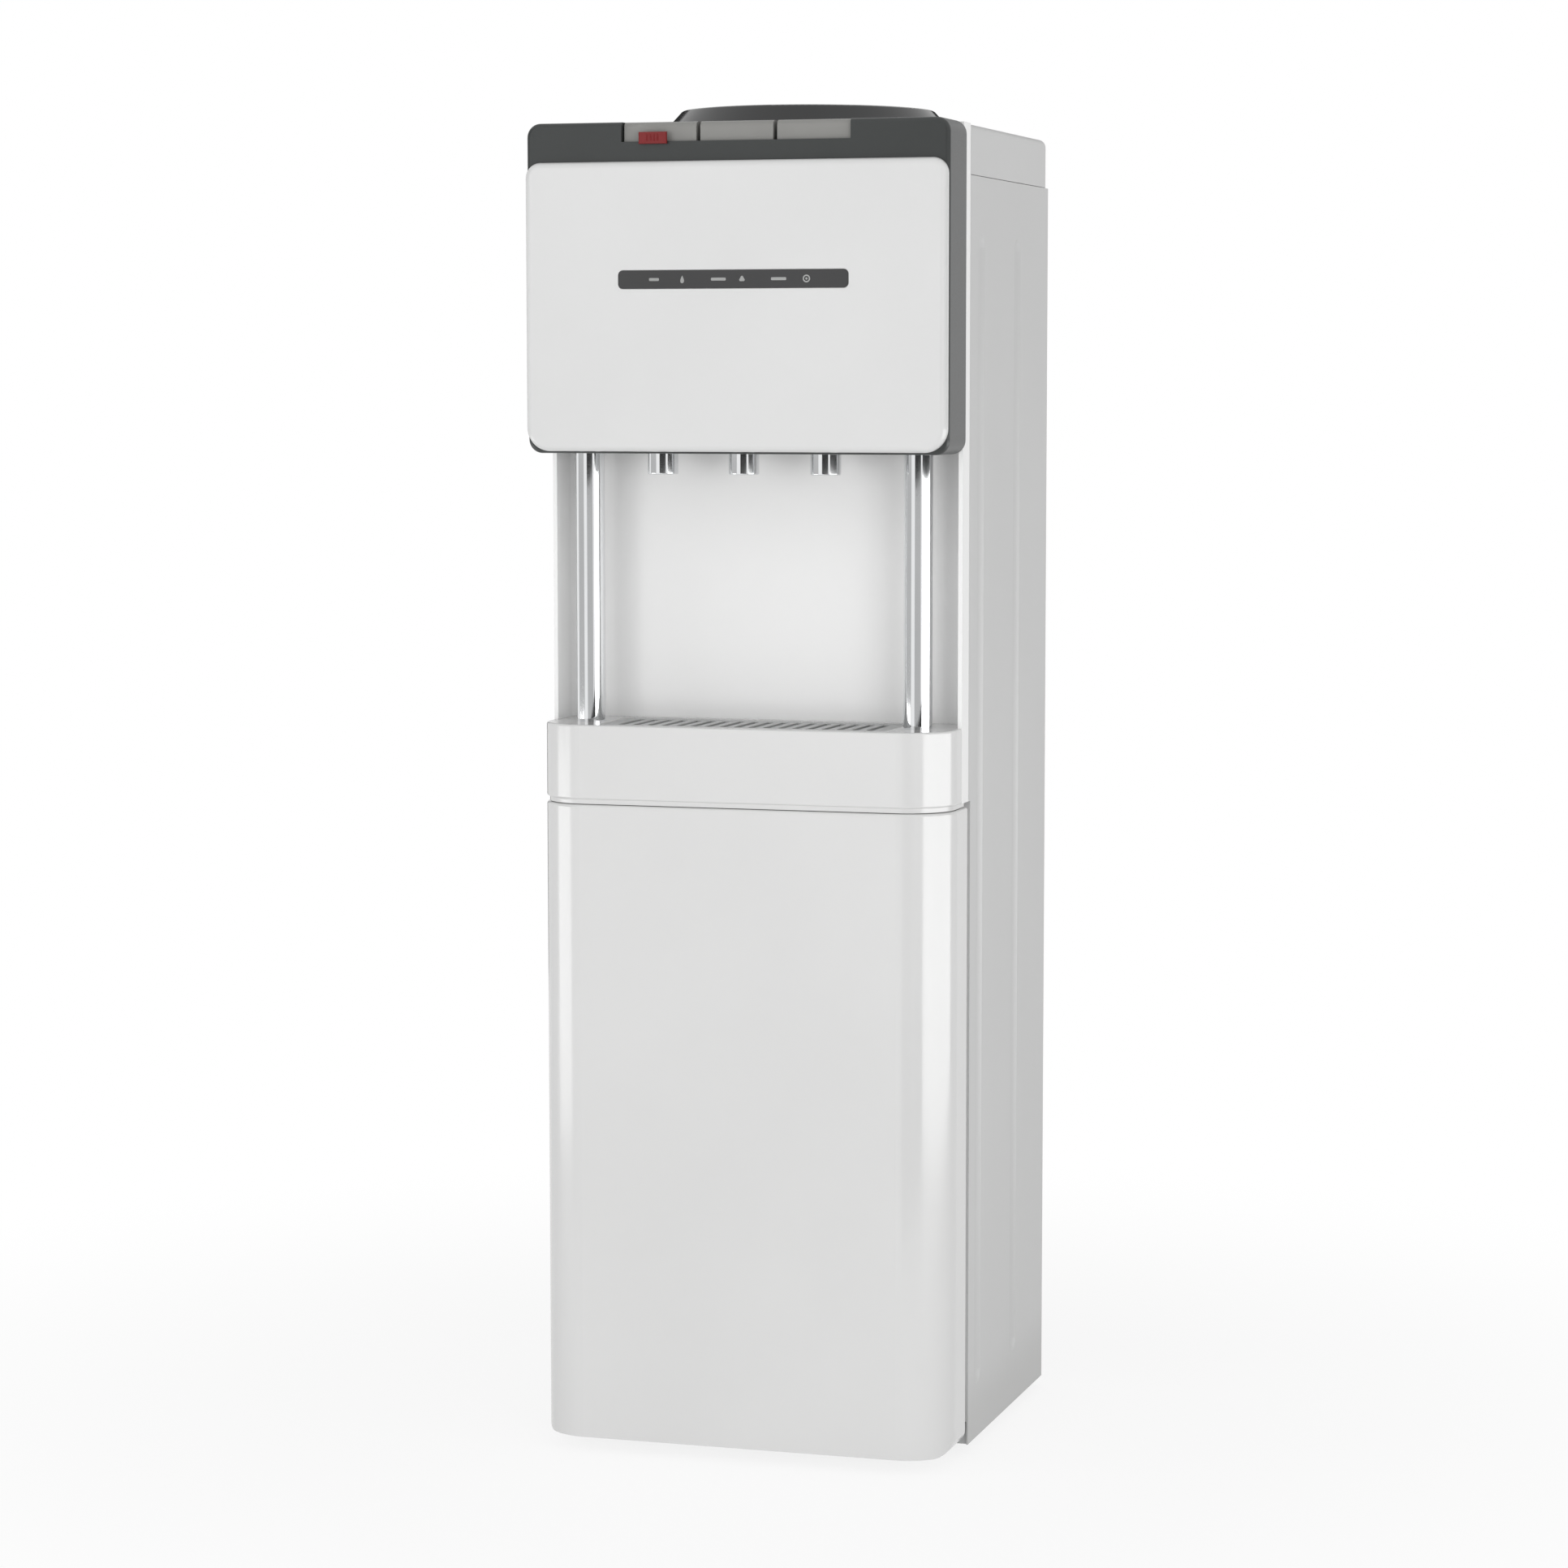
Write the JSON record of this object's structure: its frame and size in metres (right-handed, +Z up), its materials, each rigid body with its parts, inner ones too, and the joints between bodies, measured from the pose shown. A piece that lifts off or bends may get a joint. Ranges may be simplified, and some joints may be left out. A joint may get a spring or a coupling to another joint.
{
  "type": "water dispenser",
  "caption": "Floor-standing hot and cold water dispenser with top bottle seat, push-button taps over an open alcove, lift-out drip tray and hinged storage door.",
  "frame": {"origin": "on the floor, under the middle of the bounding box", "axes": "+Z up, front towards -Y, +X to the right of a person who faces the front"},
  "size_m": [0.314, 0.306, 0.983],
  "materials": {
    "painted_steel": "powder coat",
    "side_steel": "satin powder coat",
    "white_gloss": "moulded, glossy",
    "panel_gloss": "moulded, glossy",
    "cover_plastic": "moulded, glossy",
    "dark_gloss": "dark grey, glossy",
    "collar_gloss": "dark grey, glossy",
    "button_grey": "light grey, satin",
    "lock_red": "red, glossy",
    "smoked_strip": "smoked, glossy",
    "clear_lens": "clear",
    "board": "printed board",
    "chrome": "polished",
    "steel": "brushed",
    "zinc_steel": "zinc plated",
    "heater_steel": "brushed",
    "copper": "copper, tarnished",
    "natural_plastic": "natural",
    "tray_plastic": "light grey",
    "grille_plastic": "grey",
    "liner_plastic": "thermoformed",
    "foam": "foam",
    "silicone": "silicone",
    "phenolic": "moulded",
    "foot_rubber": "moulded",
    "seal_rubber": "extruded",
    "compressor_black": "black enamel",
    "condenser_black": "black enamel",
    "black_plastic": "moulded",
    "rocker_red": "moulded",
    "rocker_green": "moulded"
  },
  "bodies": {
    "cabinet": {"base_plate": "painted_steel", "feet": "foot_rubber", "left_side_panel": "side_steel", "right_side_panel": "side_steel", "front_frame": "white_gloss", "rear_panel": "side_steel", "rear_grille": "side_steel", "top_cover": "cover_plastic", "tray_housing": "white_gloss", "columns": "chrome", "head_shell": "dark_gloss", "front_panel": "panel_gloss", "indicator_strip": "smoked_strip", "indicator_lenses": "clear_lens", "indicator_board": "board", "button_axle": "steel", "tap_bodies": "natural_plastic", "tap_nozzles": "chrome", "valve_spring_hot": "steel", "valve_spring_ambient": "steel", "valve_spring_cold": "steel", "bottle_collar": "collar_gloss", "cold_tank": "steel", "evaporator_coil": "copper", "foam_jacket": "foam", "hot_tank": "steel", "heater_band": "heater_steel", "thermostats": "phenolic", "water_hoses": "silicone", "tank_shelves": "zinc_steel", "compressor": "compressor_black", "compressor_mounts": "foot_rubber", "condenser": "condenser_black", "filter_drier": "copper", "refrigerant_pipes": "copper", "cabinet_liner": "liner_plastic", "hinge_bracket": "zinc_steel", "hinge_pin_top": "zinc_steel", "switch_bezel": "black_plastic", "drain_spout": "natural_plastic", "cord_gland": "black_plastic", "rear_screws": "zinc_steel"},
    "button_hot": {"button_hot": "button_grey"},
    "child_lock": {"child_lock_slider": "lock_red"},
    "button_ambient": {"button_ambient": "button_grey"},
    "button_cold": {"button_cold": "button_grey"},
    "rod_hot": {"push_rod_hot": "natural_plastic"},
    "rod_ambient": {"push_rod_ambient": "natural_plastic"},
    "rod_cold": {"push_rod_cold": "natural_plastic"},
    "door": {"door_panel": "white_gloss", "door_inner": "liner_plastic", "door_seal": "seal_rubber", "door_bushes": "natural_plastic"},
    "tray": {"drip_tray": "tray_plastic"},
    "grille": {"drip_grille": "grille_plastic"},
    "guard": {"water_guard": "natural_plastic"},
    "rocker_heating": {"rocker_heating": "rocker_red"},
    "rocker_cooling": {"rocker_cooling": "rocker_green"},
    "knob": {"thermostat_knob": "black_plastic"},
    "drain_cap": {"drain_cap": "black_plastic"}
  },
  "joints": [
    {"name": "button_hot_press", "type": "hinge", "parent": "cabinet", "child": "button_hot", "pos_m": [0, -0.114, 0.958], "axis": [1, 0, 0], "range_deg": [0, 8], "stiffness_Nm_per_rad": 0.12, "springref_deg": -8.02},
    {"name": "rod_hot_travel", "type": "slide", "parent": "cabinet", "child": "rod_hot", "axis": [0, 0, -1], "range_m": [0, 0.0024], "deforming": ["valve_spring_hot"]},
    {"name": "button_ambient_press", "type": "hinge", "parent": "cabinet", "child": "button_ambient", "pos_m": [0, -0.114, 0.958], "axis": [1, 0, 0], "range_deg": [0, 8], "stiffness_Nm_per_rad": 0.12, "springref_deg": -8.02},
    {"name": "rod_ambient_travel", "type": "slide", "parent": "cabinet", "child": "rod_ambient", "axis": [0, 0, -1], "range_m": [0, 0.0024], "deforming": ["valve_spring_ambient"]},
    {"name": "button_cold_press", "type": "hinge", "parent": "cabinet", "child": "button_cold", "pos_m": [0, -0.114, 0.958], "axis": [1, 0, 0], "range_deg": [0, 8], "stiffness_Nm_per_rad": 0.12, "springref_deg": -8.02},
    {"name": "rod_cold_travel", "type": "slide", "parent": "cabinet", "child": "rod_cold", "axis": [0, 0, -1], "range_m": [0, 0.0024], "deforming": ["valve_spring_cold"]},
    {"name": "child_lock_slide", "type": "slide", "parent": "button_hot", "child": "child_lock", "axis": [1, 0, 0], "range_m": [0, 0.008], "stiffness_N_per_m": 30, "springref_m": -0.02},
    {"name": "door_hinge", "type": "hinge", "parent": "cabinet", "child": "door", "pos_m": [-0.147, -0.094, 0.244], "axis": [0, 0, 1], "range_deg": [-110, 0]},
    {"name": "tray_lift", "type": "slide", "parent": "cabinet", "child": "tray", "axis": [0, 0, 1], "range_m": [0, 0.06]},
    {"name": "grille_lift", "type": "slide", "parent": "tray", "child": "grille", "axis": [0, 0, 1], "range_m": [0, 0.03]},
    {"name": "guard_lift", "type": "slide", "parent": "cabinet", "child": "guard", "axis": [0, 0, 1], "range_m": [0, 0.1]},
    {"name": "rocker_heating_tilt", "type": "hinge", "parent": "cabinet", "child": "rocker_heating", "pos_m": [0.099, 0.1237, 0.897], "axis": [1, 0, 0], "range_deg": [-20, 0]},
    {"name": "rocker_cooling_tilt", "type": "hinge", "parent": "cabinet", "child": "rocker_cooling", "pos_m": [0.125, 0.1237, 0.897], "axis": [1, 0, 0], "range_deg": [-20, 0]},
    {"name": "knob_turn", "type": "hinge", "parent": "cabinet", "child": "knob", "pos_m": [-0.11, 0.128, 0.897], "axis": [0, 1, 0], "range_deg": [0, 270]},
    {"name": "drain_cap_pull", "type": "slide", "parent": "cabinet", "child": "drain_cap", "axis": [0, 1, 0], "range_m": [0, 0.02]}
  ],
  "couplings": [
    {"joint": "rod_hot_travel", "follows": "button_hot_press", "m_per_rad": 0.0165},
    {"joint": "rod_ambient_travel", "follows": "button_ambient_press", "m_per_rad": 0.0165},
    {"joint": "rod_cold_travel", "follows": "button_cold_press", "m_per_rad": 0.0165}
  ]
}
